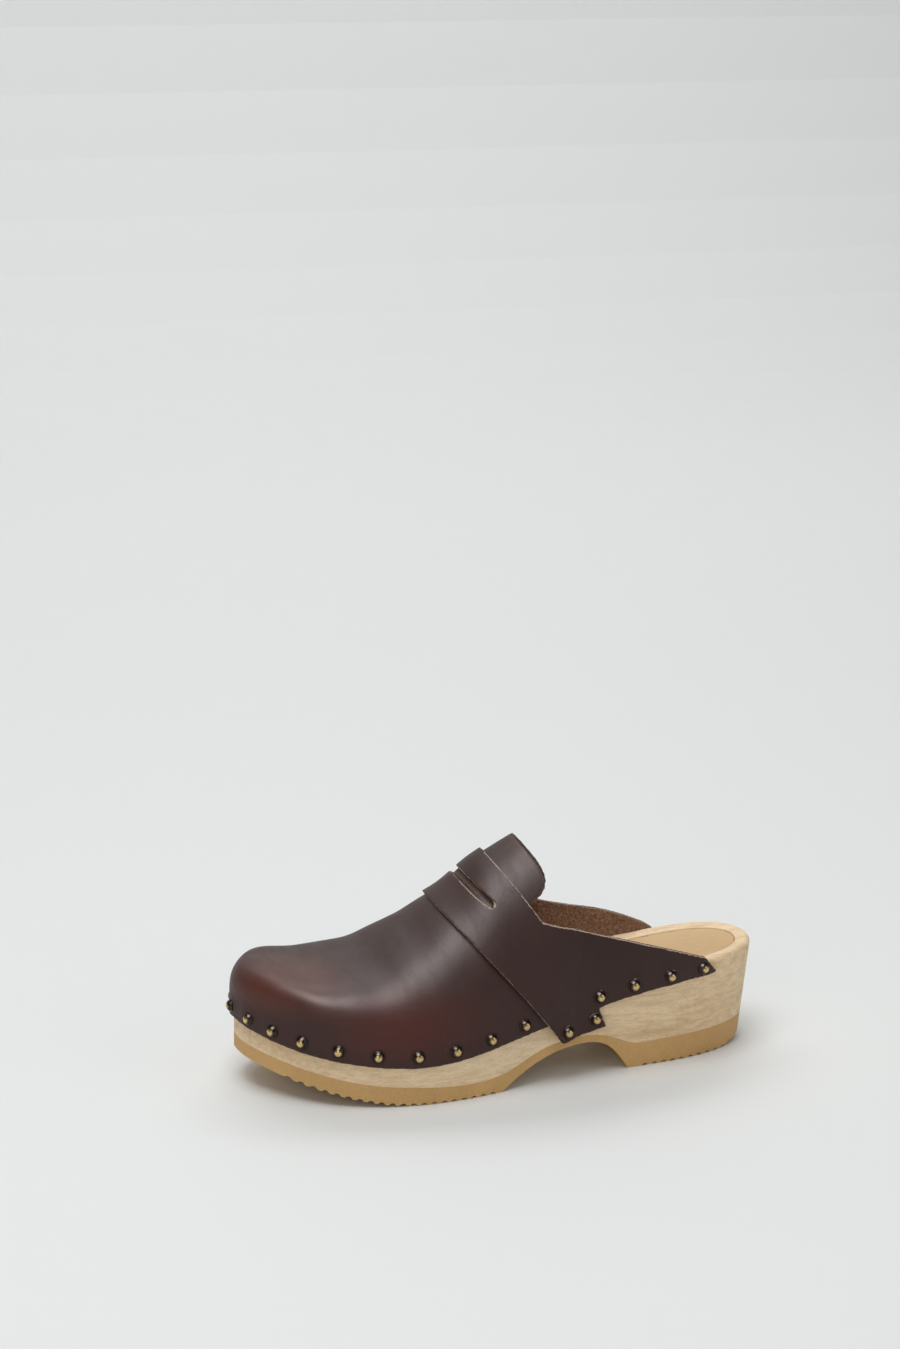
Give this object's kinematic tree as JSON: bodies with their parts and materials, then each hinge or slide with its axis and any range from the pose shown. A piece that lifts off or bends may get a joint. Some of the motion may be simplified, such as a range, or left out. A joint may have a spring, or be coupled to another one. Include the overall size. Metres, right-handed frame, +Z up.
{
  "type": "clog",
  "caption": "Slip-on clog with a carved wooden sole, rubber tread, nailed leather vamp with tongue, and a slotted saddle strap.",
  "frame": {"origin": "middle of the clog's bounding box, on the floor that the tread stands on", "axes": "+X from heel to toe, +Y to the outer side of the left foot, +Z up"},
  "size_m": [0.253, 0.1003, 0.1093],
  "materials": {
    "sole_wood": "sanded, satin",
    "tread_rubber": "matt",
    "sock_leather": "smooth, matt",
    "upper_leather": "oiled, semi-gloss",
    "nail_brass": "antiqued, polished dome"
  },
  "bodies": {
    "root": {"insole_sock": "sock_leather", "nail_foot_inner_1": "nail_brass", "nail_foot_inner_2": "nail_brass", "nail_foot_outer_1": "nail_brass", "nail_foot_outer_2": "nail_brass", "nail_quarter_inner_1": "nail_brass", "nail_quarter_inner_2": "nail_brass", "nail_quarter_inner_3": "nail_brass", "nail_quarter_inner_4": "nail_brass", "nail_quarter_outer_1": "nail_brass", "nail_quarter_outer_2": "nail_brass", "nail_quarter_outer_3": "nail_brass", "nail_quarter_outer_4": "nail_brass", "nail_vamp_inner_01": "nail_brass", "nail_vamp_inner_02": "nail_brass", "nail_vamp_inner_03": "nail_brass", "nail_vamp_inner_04": "nail_brass", "nail_vamp_inner_05": "nail_brass", "nail_vamp_inner_06": "nail_brass", "nail_vamp_inner_07": "nail_brass", "nail_vamp_inner_08": "nail_brass", "nail_vamp_inner_09": "nail_brass", "nail_vamp_outer_01": "nail_brass", "nail_vamp_outer_02": "nail_brass", "nail_vamp_outer_03": "nail_brass", "nail_vamp_outer_04": "nail_brass", "nail_vamp_outer_05": "nail_brass", "nail_vamp_outer_06": "nail_brass", "nail_vamp_outer_07": "nail_brass", "nail_vamp_outer_08": "nail_brass", "nail_vamp_outer_09": "nail_brass", "nail_vamp_outer_10": "nail_brass", "rubber_outsole": "tread_rubber", "saddle_quarter": "upper_leather", "vamp": "upper_leather", "wood_sole": "sole_wood"}
  },
  "joints": []
}
